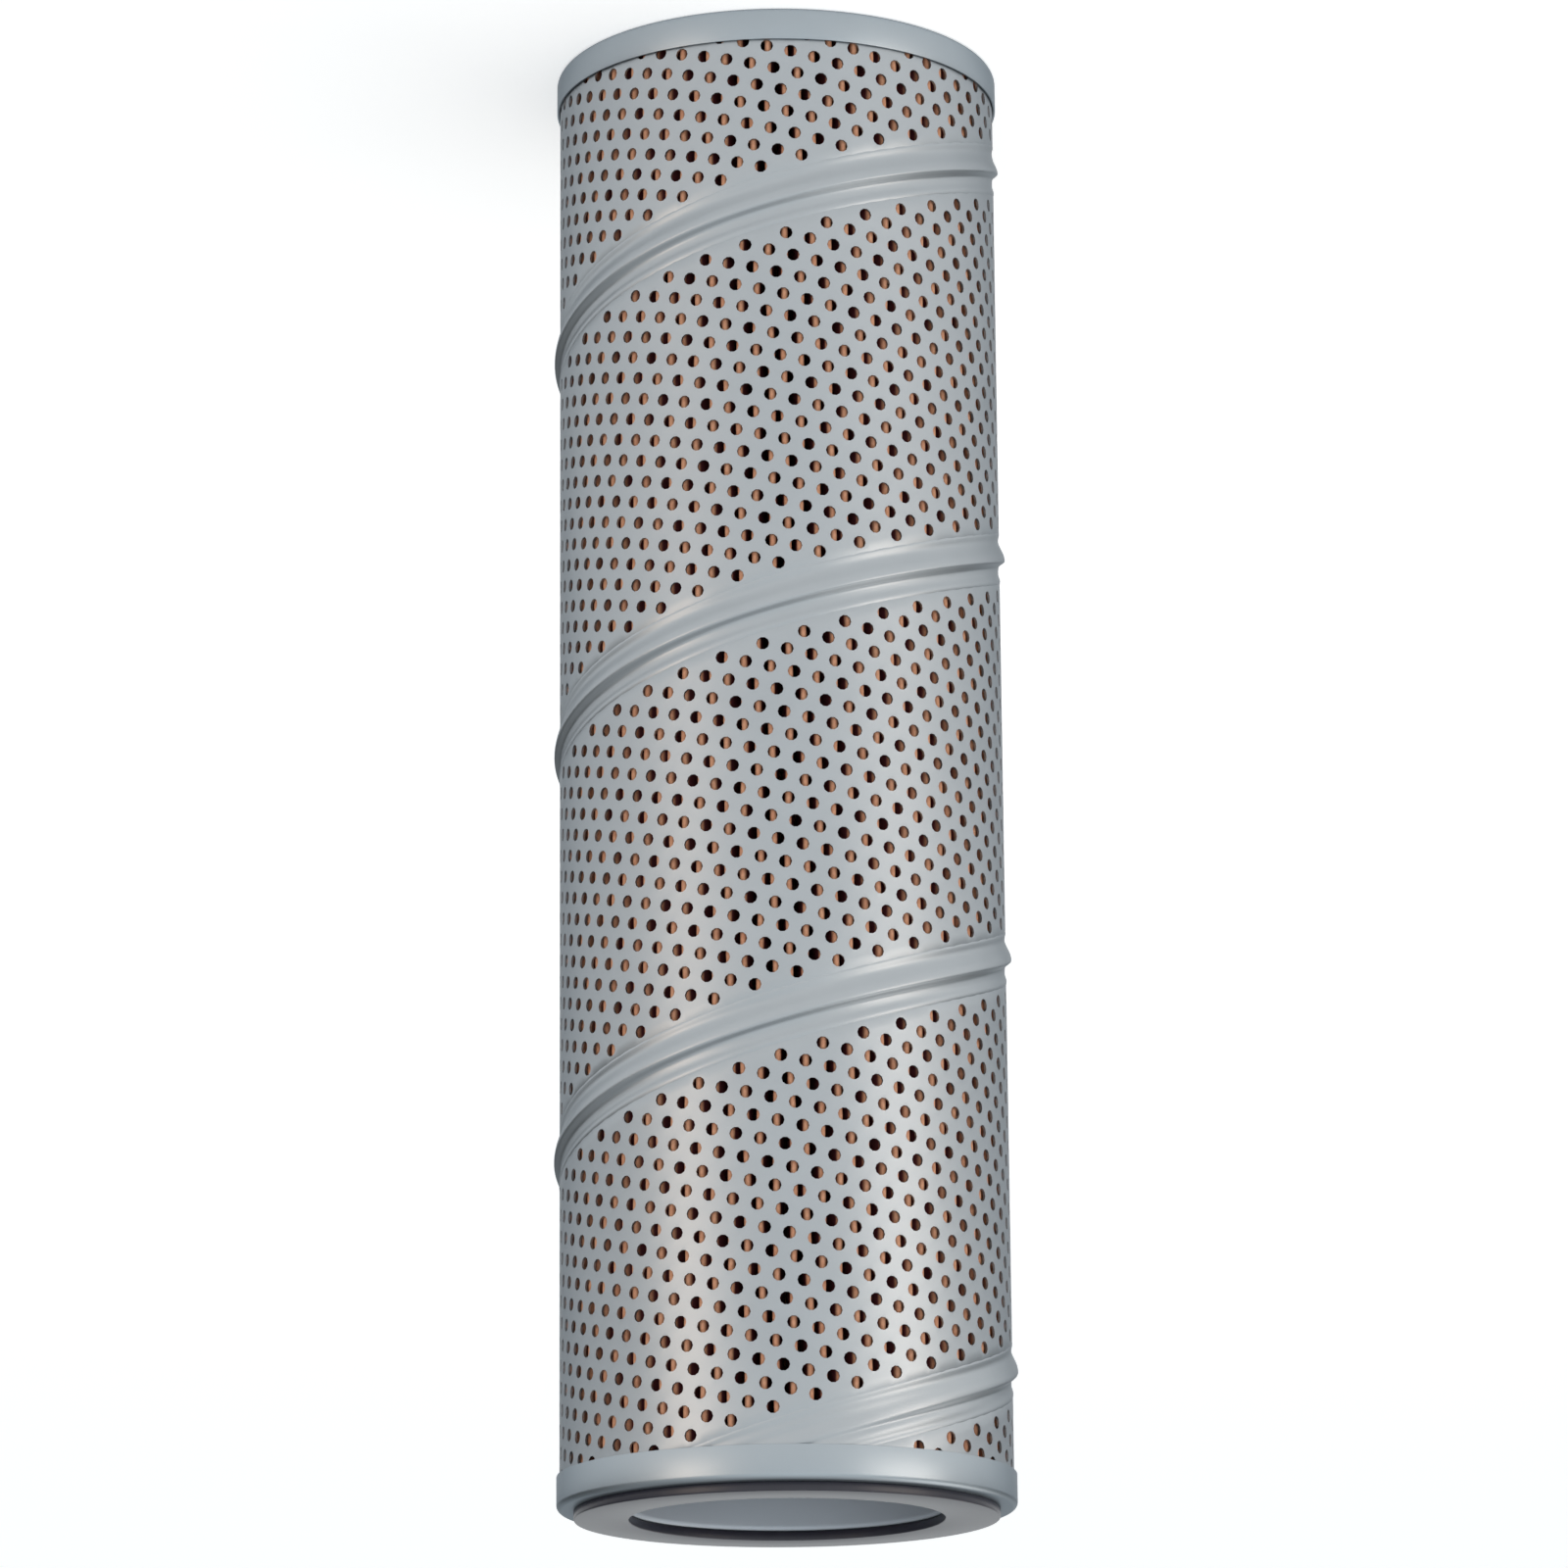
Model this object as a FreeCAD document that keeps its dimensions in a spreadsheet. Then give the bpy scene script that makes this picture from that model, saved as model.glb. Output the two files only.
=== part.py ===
# Hydraulic return filter element: a spiral-seamed perforated tube round a pleated paper pack,
# with a pressed steel cap at each end. It stands on its closed end, with the outlet facing up.
# Millimetres, +Z along the axis from the closed end to the outlet, origin in the closed end's face.

import FreeCAD, Part
import Sketcher
import math
import os
from FreeCAD import Vector

doc = FreeCAD.newDocument("hydraulic_filter")

# Driving sizes

DRIVING_SIZES = [
    ("cap_diameter", 95.0, "outside of both end caps"),
    ("cap_sheet", 0.5, "thickness of the pressed caps"),
    ("cap_corner", 1.2, "outer bend radius of the caps"),
    ("skirt_height", 7.0, "height of each cap's skirt"),
    ("body_length", 310.8, "from the outer face of one cap to the other"),
    ("outlet_diameter", 64.0, "inside of the outlet collar"),
    ("collar_depth", 10.0, "outlet collar, from the cap's outer face"),
    ("skirt_gap", 0.15, "radial, skirt to outer tube"),
    ("seat_gap", 0.3, "axial, end of a tube to its cap"),
    ("tube_sheet", 0.5, "thickness of the perforated strip"),
    ("strip_width", 83.56, "from seam to seam, square to the seam"),
    ("seam_at_x", 63.94, "height at which the seam's crown crosses the +X side"),
    ("seam_crown", 1.0, "flat top of the folded ridge, across it"),
    ("seam_long_flank", 2.2, "sloping side of the ridge towards the closed end"),
    ("seam_short_flank", 1.1, "sloping side of the ridge towards the outlet"),
    ("seam_rise", 1.2, "top of the ridge above the tube"),
    ("hole_diameter", 2.7, "perforations of the outer tube"),
    ("hole_rows", 4, "rows of perforations between two turns of the seam"),
    ("hole_row", 17.64, "from one row of perforations to the next"),
    ("hole_step", 35.74, "from one perforation to the next in its row"),
    ("hole_margin", 2.0, "least distance from a perforation to a skirt"),
    ("core_gap", 0.25, "radial, collar to centre tube"),
    ("core_sheet", 0.6, "thickness of the centre tube"),
    ("core_hole", 6.0, "holes of the centre tube"),
    ("core_row", 52.0, "from one ring of its holes to the next"),
    ("core_rings", 5, "rings of holes in the centre tube"),
    ("core_columns", 3, "holes in each of those rings"),
    ("potting_depth", 3.5, "adhesive in each cap"),
    ("potting_gap", 0.15, "radial, adhesive to the tubes"),
    ("pleat_count", 91, "pleats round the pack"),
    ("paper_sheet", 0.6, "thickness of the filter paper"),
    ("paper_gap", 0.4, "radial, folds to the tubes"),
    ("crest_width", 1.4, "outside of each outer fold"),
    ("root_width", 1.2, "outside of each inner fold"),
    ("clip_sheet", 0.3, "thickness of the clip on the paper's ends"),
    ("clip_depth", 5.0, "how far the clip reaches over the paper"),
    ("clip_gap", 0.1, "paper to clip, and between the paper's two ends"),
    ("gasket_diameter", 87.9, "outside of the sealing washer"),
    ("gasket_bore", 65.2, "hole of the sealing washer"),
    ("gasket_height", 1.9, "thickness of the sealing washer"),
]

sheet = doc.addObject("Spreadsheet::Sheet", "Sizes")
for row, (alias, number, meaning) in enumerate(DRIVING_SIZES, start=1):
    sheet.set("A%d" % row, alias)
    sheet.set("B%d" % row, str(number))
    sheet.set("C%d" % row, meaning)
    sheet.setAlias("B%d" % row, alias)
doc.recompute()


class Size:
    """A size worked out from the sheet: its number, and the expression that gives it."""

    def __init__(self, number, text):
        self.number = number
        self.text = text

    def __add__(self, other):
        other = as_size(other)
        return Size(self.number + other.number, "(%s + %s)" % (self.text, other.text))

    def __sub__(self, other):
        other = as_size(other)
        return Size(self.number - other.number, "(%s - %s)" % (self.text, other.text))

    def __mul__(self, other):
        other = as_size(other)
        return Size(self.number * other.number, "(%s * %s)" % (self.text, other.text))

    def __truediv__(self, other):
        other = as_size(other)
        return Size(self.number / other.number, "(%s / %s)" % (self.text, other.text))


def as_size(value):
    if isinstance(value, Size):
        return value
    return Size(float(value), repr(value))


def cell(alias):
    return Size(float(sheet.get(alias)), "Sizes." + alias)


def root(value):
    return Size(math.sqrt(value.number), "sqrt(%s)" % value.text)


def bind(item, prop, value):
    item.setExpression(prop, value.text)


# Radii and heights that several pieces share

ZERO = as_size(0.0)
cap_r = cell("cap_diameter") / 2
skirt_bore_r = cap_r - cell("cap_sheet")
tube_r = skirt_bore_r - cell("skirt_gap")
tube_bore_r = tube_r - cell("tube_sheet")
outlet_r = cell("outlet_diameter") / 2
collar_r = outlet_r + cell("cap_sheet")
core_bore_r = collar_r + cell("core_gap")
core_r = core_bore_r + cell("core_sheet")

body_top = cell("body_length")
top_skirt_edge = body_top - cell("skirt_height")
tube_foot = cell("cap_sheet") + cell("seat_gap")
tube_head = body_top - tube_foot
pack_foot = cell("cap_sheet") + cell("potting_depth")
pack_head = body_top - pack_foot
pack_length = pack_head - pack_foot

# The seam's helix: the strip's width fixes its slope on the tube

seam_sine = cell("strip_width") / (tube_r * (2 * math.pi))
seam_cosine = root(as_size(1) - seam_sine * seam_sine)
seam_pitch = cell("strip_width") / seam_cosine


# Helpers for bodies and sketches

def new_body(label):
    body = doc.addObject("PartDesign::Body", label)
    body.Label = label
    return body


def origin_plane(body, role):
    return next(item for item in body.Origin.OriginFeatures if item.Role == role)


def place_point(sketch, line, x, y):
    """ties the start of a line to its distances from the sketch's origin"""
    for kind, value, axis in (("DistanceX", x, -2), ("DistanceY", y, -1)):
        if value.number == 0:
            sketch.addConstraint(Sketcher.Constraint("PointOnObject", line, 1, axis))
            continue
        index = sketch.addConstraint(Sketcher.Constraint(kind, -1, 1, line, 1, value.number))
        bind(sketch, "Constraints[%d]" % index, value)


def half_section(body, label, corners):
    """a closed outline of straight sides in the half plane through the axis: radius, height"""
    sketch = body.newObject("Sketcher::SketchObject", label)
    sketch.AttachmentSupport = (origin_plane(body, "XZ_Plane"), [""])
    sketch.MapMode = "FlatFace"
    points = [Vector(x.number, y.number, 0) for x, y in corners]
    following = points[1:] + points[:1]
    for start, end in zip(points, following):
        sketch.addGeometry(Part.LineSegment(start, end), False)
    for line in range(len(corners)):
        after = (line + 1) % len(corners)
        sketch.addConstraint(Sketcher.Constraint("Coincident", line, 2, after, 1))
    for line, (x, y) in enumerate(corners):
        place_point(sketch, line, x, y)
    return sketch


def revolve(body, label, corners):
    sketch = half_section(body, label + "_section", corners)
    turned = body.newObject("PartDesign::Revolution", label + "_turned")
    turned.Profile = sketch
    turned.ReferenceAxis = (sketch, ["V_Axis"])
    turned.Angle = 360
    doc.recompute()
    return turned


def ring_corners(inner, outer, foot, head):
    return [(inner, foot), (outer, foot), (outer, head), (inner, head)]


def outside_bend(radius, height, inward, upward):
    """three points on the outer face of a bend in the cap's sheet, from its flat side to its upright one"""
    bend = cell("cap_corner")
    middle = 1 - math.sqrt(0.5)
    return [
        (radius + bend * inward, height),
        (radius + bend * inward * middle, height + bend * upward * middle),
        (radius, height + bend * upward),
    ]


def inside_bend(radius, height, inward, upward):
    """the inner face of the same bend: one slope that leaves the sheet its full thickness"""
    slope = (cell("cap_corner") - cell("cap_sheet")) * (2 - math.sqrt(2))
    return [(radius + slope * inward, height), (radius, height + slope * upward)]


# Closed end cap: a plain pressed cup, opening upward

closed_end_cap = new_body("closed_end_cap")
closed_cup = [(ZERO, ZERO)]
closed_cup += outside_bend(cap_r, ZERO, -1, 1)
closed_cup += [(cap_r, cell("skirt_height")), (skirt_bore_r, cell("skirt_height"))]
closed_cup += reversed(inside_bend(skirt_bore_r, cell("cap_sheet"), -1, 1))
closed_cup += [(ZERO, cell("cap_sheet"))]
revolve(closed_end_cap, "closed_cup", closed_cup)


# Open end cap: the same cup turned over, its sheet drawn down into a collar round the outlet

open_end_cap = new_body("open_end_cap")
disc_inside = body_top - cell("cap_sheet")
collar_end = body_top - cell("collar_depth")
open_cup = [(outlet_r, collar_end)]
open_cup += reversed(outside_bend(outlet_r, body_top, 1, -1))
open_cup += outside_bend(cap_r, body_top, -1, -1)
open_cup += [(cap_r, top_skirt_edge), (skirt_bore_r, top_skirt_edge)]
open_cup += reversed(inside_bend(skirt_bore_r, disc_inside, -1, -1))
open_cup += inside_bend(collar_r, disc_inside, 1, -1)
open_cup += [(collar_r, collar_end)]
revolve(open_end_cap, "open_cup", open_cup)


# Sealing washer on the open end's shoulder

open_end_gasket = new_body("open_end_gasket")
revolve(open_end_gasket, "washer", ring_corners(
    cell("gasket_bore") / 2, cell("gasket_diameter") / 2, body_top, body_top + cell("gasket_height")))


# Adhesive that the pack stands in, one ring in each cap

potting_inner = core_r + cell("potting_gap")
potting_outer = tube_bore_r - cell("potting_gap")

closed_end_potting = new_body("closed_end_potting")
revolve(closed_end_potting, "closed_potting", ring_corners(
    potting_inner, potting_outer, cell("cap_sheet"), pack_foot))

open_end_potting = new_body("open_end_potting")
revolve(open_end_potting, "open_potting", ring_corners(
    potting_inner, potting_outer, pack_head, disc_inside))


# Outer tube: plain wall, then the seam's ridge wound round it, then the perforations

wall = new_body("tube_wall")
revolve(wall, "wall", ring_corners(tube_bore_r, tube_r, tube_foot, tube_head))

seam_root = tube_r - cell("tube_sheet") / 2
seam_foot = cell("seam_at_x") - seam_pitch


def seam_height(offset):
    """height on the +X side of a line that runs beside the middle of the crown"""
    return seam_foot + offset / seam_cosine


def wind(label, corners):
    """winds a small section round the tube, past both ends"""
    body = new_body(label)
    sketch = half_section(body, label + "_section", corners)
    helix = body.newObject("PartDesign::AdditiveHelix", label + "_helix")
    helix.Profile = sketch
    helix.ReferenceAxis = (sketch, ["V_Axis"])
    helix.Mode = "pitch-height-angle"
    bind(helix, "Pitch", seam_pitch)
    bind(helix, "Height", body_top + seam_pitch / 2 - seam_foot)
    helix.Angle = 0
    helix.LeftHanded = False
    doc.recompute()
    return body


half_crown = cell("seam_crown") / 2
lower_foot = seam_height(half_crown * -1 - cell("seam_long_flank"))
upper_foot = seam_height(half_crown + cell("seam_short_flank"))
ridge_r = tube_r + cell("seam_rise")
seam_ridge = wind("seam_ridge", [
    (seam_root, lower_foot),
    (tube_r, lower_foot),
    (ridge_r, seam_height(half_crown * -1)),
    (ridge_r, seam_height(half_crown)),
    (tube_r, upper_foot),
    (seam_root, upper_foot),
])


def ring(label, inner, outer, foot, head):
    """a plain ring, as one cylinder less another"""
    solid = doc.addObject("Part::Cylinder", label + "_outside")
    hole = doc.addObject("Part::Cylinder", label + "_inside")
    for cylinder, radius in ((solid, outer), (hole, inner)):
        bind(cylinder, "Radius", radius)
        bind(cylinder, "Height", head - foot)
        bind(cylinder, "Placement.Base.z", foot)
    cut = doc.addObject("Part::Cut", label)
    cut.Base = solid
    cut.Tool = hole
    return cut


# The seam is rolled flat where it runs under the two skirts

between_skirts = ring("between_skirts", tube_bore_r - 1, ridge_r + 1, cell("skirt_height"), top_skirt_edge)
seam_between_skirts = doc.addObject("Part::Common", "seam_between_skirts")
seam_between_skirts.Base = seam_ridge
seam_between_skirts.Tool = between_skirts
plain_tube = doc.addObject("Part::Fuse", "plain_tube")
plain_tube.Base = wall
plain_tube.Tool = seam_between_skirts


def punches(label, places, width, inner, outer):
    """six-sided punches that point outward, through a tube's wall"""
    foot_r = inner.number - 1
    length = outer.number - inner.number + 2
    shapes = []
    for height, outward in places:
        sideways = Vector(0, 0, 1).cross(outward)
        corners = []
        for corner in range(6):
            turn = corner * math.pi / 3
            offset = sideways * math.sin(turn) + Vector(0, 0, 1) * math.cos(turn)
            corners.append(Vector(0, 0, height) + outward * foot_r + offset * (width.number / 2))
        face = Part.Face(Part.makePolygon(corners + corners[:1]))
        shapes.append(face.extrude(outward * length))
    tool = doc.addObject("Part::Feature", label)
    tool.Shape = Part.makeCompound(shapes)
    return tool


def perforation_places():
    """heights and directions of the perforations, row by row along the strip"""
    slope = math.asin(seam_sine.number)
    radius = tube_r.number
    step = cell("hole_step").number
    rows = int(cell("hole_rows").number)
    lowest = cell("skirt_height").number + cell("hole_margin").number
    highest = top_skirt_edge.number - cell("hole_margin").number
    strip_middle = cell("strip_width").number / 2
    length = body_top.number / math.sin(slope)
    reach = math.ceil(length / step)
    for row in range(rows):
        across = strip_middle + (row - (rows - 1) / 2) * cell("hole_row").number
        stagger = step / 2 * (row % 2)
        for place in range(-reach, reach + 1):
            along = place * step + stagger
            height = cell("seam_at_x").number + along * math.sin(slope) + across * math.cos(slope)
            if lowest < height < highest:
                turn = (along * math.cos(slope) - across * math.sin(slope)) / radius
                yield height, Vector(math.cos(turn), math.sin(turn), 0)


outer_tube = doc.addObject("Part::Cut", "outer_tube")
outer_tube.Base = plain_tube
outer_tube.Tool = punches(
    "perforation_punches", perforation_places(), cell("hole_diameter"), tube_bore_r, tube_r)


# Centre tube, with staggered rings of holes

def core_places():
    """heights and directions of the centre tube's holes, ring by ring"""
    rings = int(cell("core_rings").number)
    columns = int(cell("core_columns").number)
    for ring_index in range(rings):
        height = body_top.number / 2 + (ring_index - (rings - 1) / 2) * cell("core_row").number
        for column in range(columns):
            turn = (column + ring_index % 2 / 2) * 2 * math.pi / columns
            yield height, Vector(math.cos(turn), math.sin(turn), 0)


centre_tube = doc.addObject("Part::Cut", "centre_tube")
centre_tube.Base = ring("core_wall", core_bore_r, core_r, tube_foot, tube_head)
centre_tube.Tool = punches("core_punches", core_places(), cell("core_hole"), core_bore_r, core_r)


# Pleated paper: one folded strip whose two ends meet in the clip, on the +Y side

pleats = int(cell("pleat_count").number)
pleat_turn = 2 * math.pi / pleats
paper = cell("paper_sheet").number
crest_r = (tube_bore_r - cell("paper_gap")).number
root_r = (core_r + cell("paper_gap")).number
half_crest = cell("crest_width").number / 2
half_root = cell("root_width").number / 2
clip_gap = cell("clip_gap").number
clip_sheet = cell("clip_sheet").number
end_r = crest_r - clip_sheet - clip_gap
knee_r = crest_r - cell("clip_depth").number


def on_pleat(place, sideways, radius):
    """a point in the plan, beside the middle line of a pleat counted from the +Y side"""
    turn = math.pi / 2 + place * pleat_turn
    outward = Vector(math.cos(turn), math.sin(turn), 0)
    along = Vector(-math.sin(turn), math.cos(turn), 0)
    return outward * radius + along * sideways


def paper_outline():
    """round the outer face of the strip from one end to the other, and back along its inner face"""
    first_end = [(0, clip_gap / 2 + paper, end_r), (0, clip_gap / 2 + paper, knee_r)]
    outer_face = [(0.5, 0, root_r + paper)]
    for place in range(1, pleats):
        outer_face += [(place, -half_crest, crest_r), (place, half_crest, crest_r)]
        outer_face += [(place + 0.5, 0, root_r + paper)]
    last_end = [(side, -offset, radius) for side, offset, radius in (
        (0, clip_gap / 2 + paper, knee_r),
        (0, clip_gap / 2 + paper, end_r),
        (0, clip_gap / 2, end_r),
        (0, clip_gap / 2, knee_r),
    )]
    inner_face = []
    for place in range(pleats - 1, 0, -1):
        inner_face += [(place + 0.5, half_root, root_r), (place + 0.5, -half_root, root_r)]
        inner_face += [(place, 0, crest_r - paper)]
    inner_face += [(0.5, half_root, root_r), (0.5, -half_root, root_r)]
    start = [(0, clip_gap / 2, knee_r), (0, clip_gap / 2, end_r)]
    return [on_pleat(*point) for point in first_end + outer_face + last_end + inner_face + start]


def plan_face(label, points):
    wire = Part.makePolygon(points + points[:1])
    plan = doc.addObject("Part::Feature", label)
    plan.Shape = Part.Face(wire)
    return plan


def raise_plan(label, plan):
    """the height of the pleated pack, between the two beds of adhesive"""
    raised = doc.addObject("Part::Extrusion", label)
    raised.Base = plan
    raised.Dir = Vector(0, 0, 1)
    raised.Solid = True
    bind(raised, "LengthFwd", pack_length)
    bind(raised, "Placement.Base.z", pack_foot)
    return raised


pleated_paper = raise_plan("pleated_paper", plan_face("paper_plan", paper_outline()))


# Clip folded over the two ends of the paper

clip_bore = clip_gap / 2 + paper + clip_gap
clip_side = clip_bore + clip_sheet
clip_plan = plan_face("clip_plan", [on_pleat(0, sideways, radius) for sideways, radius in (
    (clip_side, knee_r),
    (clip_side, crest_r),
    (-clip_side, crest_r),
    (-clip_side, knee_r),
    (-clip_bore, knee_r),
    (-clip_bore, crest_r - clip_sheet),
    (clip_bore, crest_r - clip_sheet),
    (clip_bore, knee_r),
)])
pleat_seam_clip = raise_plan("pleat_seam_clip", clip_plan)


# Check every object, then write one file for each piece

PIECES = [
    outer_tube,
    centre_tube,
    pleated_paper,
    pleat_seam_clip,
    closed_end_potting,
    open_end_potting,
    closed_end_cap,
    open_end_cap,
    open_end_gasket,
]

doc.recompute()
for item in doc.Objects:
    if "Invalid" in item.State or "Error" in item.State:
        raise RuntimeError("%s failed: %s" % (item.Name, item.State))
os.makedirs("parts", exist_ok=True)
for piece in PIECES:
    if piece.Shape.isNull() or not piece.Shape.isValid():
        raise RuntimeError("%s has no valid shape" % piece.Label)
    if len(piece.Shape.Solids) != 1:
        raise RuntimeError("%s has %d solids" % (piece.Label, len(piece.Shape.Solids)))
for piece in PIECES:
    piece.Shape.exportStep("parts/%s.step" % piece.Label)
    print(piece.Label, "%.1f mm3" % piece.Shape.Volume, len(piece.Shape.Faces), "faces")
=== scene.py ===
# %% [markdown]
# # A hydraulic filter element in Blender
# The real object is a throwaway cartridge from a return line: a perforated steel tube with a
# spiral seam, pleated filter paper inside it, a pressed cap at each end and a rubber washer round
# the outlet. It stands on its closed end. The solid model gives its place and its overall sizes.
# These cells add what would make solids too heavy, the thousands of holes, the folds and the round
# bends, and then the finishes.

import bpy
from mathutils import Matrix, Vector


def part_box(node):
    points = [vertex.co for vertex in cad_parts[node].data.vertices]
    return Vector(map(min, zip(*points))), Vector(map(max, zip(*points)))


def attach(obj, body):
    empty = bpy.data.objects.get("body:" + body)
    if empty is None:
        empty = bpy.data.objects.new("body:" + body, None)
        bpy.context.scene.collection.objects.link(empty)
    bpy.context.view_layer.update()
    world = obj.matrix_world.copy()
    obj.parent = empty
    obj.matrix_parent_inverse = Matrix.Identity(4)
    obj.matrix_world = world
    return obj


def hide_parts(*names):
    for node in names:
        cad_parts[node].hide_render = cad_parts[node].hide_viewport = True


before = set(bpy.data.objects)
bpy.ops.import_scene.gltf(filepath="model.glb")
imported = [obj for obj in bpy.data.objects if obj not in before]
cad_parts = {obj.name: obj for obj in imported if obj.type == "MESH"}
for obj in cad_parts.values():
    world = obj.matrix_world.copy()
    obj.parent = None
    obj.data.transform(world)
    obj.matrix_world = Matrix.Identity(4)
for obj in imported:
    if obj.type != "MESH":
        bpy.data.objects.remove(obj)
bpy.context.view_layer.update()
print("solids:", ", ".join(sorted(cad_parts)))

# %% [markdown]
# ## Sizes
# Lengths below are in millimetres, because that is how sheet metal is drawn. Blender works in
# metres here, so a mesh is scaled by `MM` once, when it is made. The overall sizes are read from
# the solids, and only what a box can't tell, such as a sheet's thickness, is written as a number.

# %% Read the sizes of the solids
import math

import bpy
import numpy as np
from mathutils import Matrix, Vector

MM = 0.001
cap_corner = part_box("open_end_cap")[1]
CAP_R = cap_corner.x / MM
BODY_TOP = cap_corner.z / MM
TUBE_FOOT, TUBE_HEAD = (corner.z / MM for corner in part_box("outer_tube"))
PACK_FOOT, PACK_HEAD = (corner.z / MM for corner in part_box("pleated_paper"))
GASKET_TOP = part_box("open_end_gasket")[1].z / MM
print("caps %.1f mm across, body %.1f mm long" % (2 * CAP_R, BODY_TOP))

# %% Sizes that the boxes don't tell
SKIRT_HEIGHT = 7.0
SKIRT_GAP = 0.15
CAP_SHEET = 0.5
CAP_BEND = 1.2
COLLAR_DEPTH = 10.0
COLLAR_GAP = 0.25
OUTLET_R = 32.0
TUBE_SHEET = 0.5
TUBE_R = CAP_R - CAP_SHEET - SKIRT_GAP
CORE_BORE_R = OUTLET_R + CAP_SHEET + COLLAR_GAP
CORE_SHEET = 0.6
CORE_R = CORE_BORE_R + CORE_SHEET
GASKET_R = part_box("open_end_gasket")[1].x / MM
GASKET_BORE_R = 32.6
print("outer tube radius %.2f mm, centre tube radius %.2f mm" % (TUBE_R, CORE_R))

# %% [markdown]
# ## Making a piece
# Every piece is a mesh from a list of points and faces. It could be built by hand with modifiers,
# but a tube with three thousand holes is a rule, and a rule is shorter as code. Faces are smooth,
# and an edge that turns by more than a given angle is marked sharp, so rims stay crisp.

# %% A helper that turns points and faces into a piece
def make_piece(name, points, faces, replaced, sharp_over=50):
    mesh = bpy.data.meshes.new(name)
    mesh.from_pydata((np.asarray(points, float) * MM).tolist(), [], faces)
    mesh.validate()
    mesh.shade_smooth()
    mesh.set_sharp_from_angle(angle=math.radians(sharp_over))
    piece = bpy.data.objects.new(name, mesh)
    bpy.context.scene.collection.objects.link(piece)
    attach(piece, "root")
    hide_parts(*replaced)
    mesh.calc_loop_triangles()
    print("%s: %d points, %d triangles" % (name, len(mesh.vertices), len(mesh.loop_triangles)))


# %% [markdown]
# ## Perforated sheet
# The tube is rolled from a strip that is punched flat. So the holes are laid out flat too, by
# their distance along and across the strip, and each point is then rolled onto the tube. A column
# of cells with a hole in each alternates with a column that is half a cell higher, which is how a
# staggered punching pattern is set out.

# %% Where the strip lies on the tube
STRIP_WIDTH = 83.56
SLOPE = math.asin(STRIP_WIDTH / (2 * math.pi * TUBE_R))
SEAM_AT_X = 63.94
print("the seam climbs at %.1f degrees, %.1f mm up at +X" % (math.degrees(SLOPE), SEAM_AT_X))


def roll(along, across, radius, slope, neutral_r, start_height):
    """rolls a point of the flat strip onto a tube"""
    turn = (along * math.cos(slope) - across * math.sin(slope)) / neutral_r
    height = start_height + along * math.sin(slope) + across * math.cos(slope)
    return radius * math.cos(turn), radius * math.sin(turn), height


# %% Set out the cells of a flat sheet
def cells(columns, line_count, holes):
    """each cell's column, the line of its hole or None, and its corners by column and line"""
    for column in columns:
        line = 0
        while line < line_count - 1:
            right = column + 1
            if holes(column, line + 1):
                yield column, line + 1, [(column, line), (right, line), (right, line + 1),
                                         (right, line + 2), (column, line + 2), (column, line + 1)]
                line += 2
            else:
                yield column, None, [(column, line), (right, line), (right, line + 1),
                                     (column, line + 1)]
                line += 1


# %% Join the rim of a cell to the rim of its hole
def bridge(corners, ring):
    """triangles between two loops round the same centre; the ring's numbers follow the corners'"""
    def angles(loop):
        return [math.atan2(y, x) % (2 * math.pi) for x, y in loop]

    steps = sorted([(angle, 0, n) for n, angle in enumerate(angles(corners))]
                   + [(angle, 1, n) for n, angle in enumerate(angles(ring))])
    last = {loop: max(step for step in steps if step[1] == loop)[2] for loop in (0, 1)}
    triangles = []
    for _, loop, number in steps:
        triangles.append((last[0], loop * len(corners) + number, len(corners) + last[1]))
        last[loop] = number
    return triangles


# %% Give a rolled sheet its thickness
def thicken(points, faces, radius, sheet):
    """adds the inner face of a rolled sheet, and a wall along every free edge"""
    outer = np.array(points)
    inner = outer * [1 - sheet / radius, 1 - sheet / radius, 1]
    count = len(outer)
    edges = {(face[n - 1], face[n]) for face in faces for n in range(len(face))}
    walls = [[b, a, a + count, b + count] for a, b in edges if (b, a) not in edges]
    inside = [[n + count for n in reversed(face)] for face in faces]
    return np.vstack([outer, inner]), faces + inside + sorted(walls)


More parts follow.
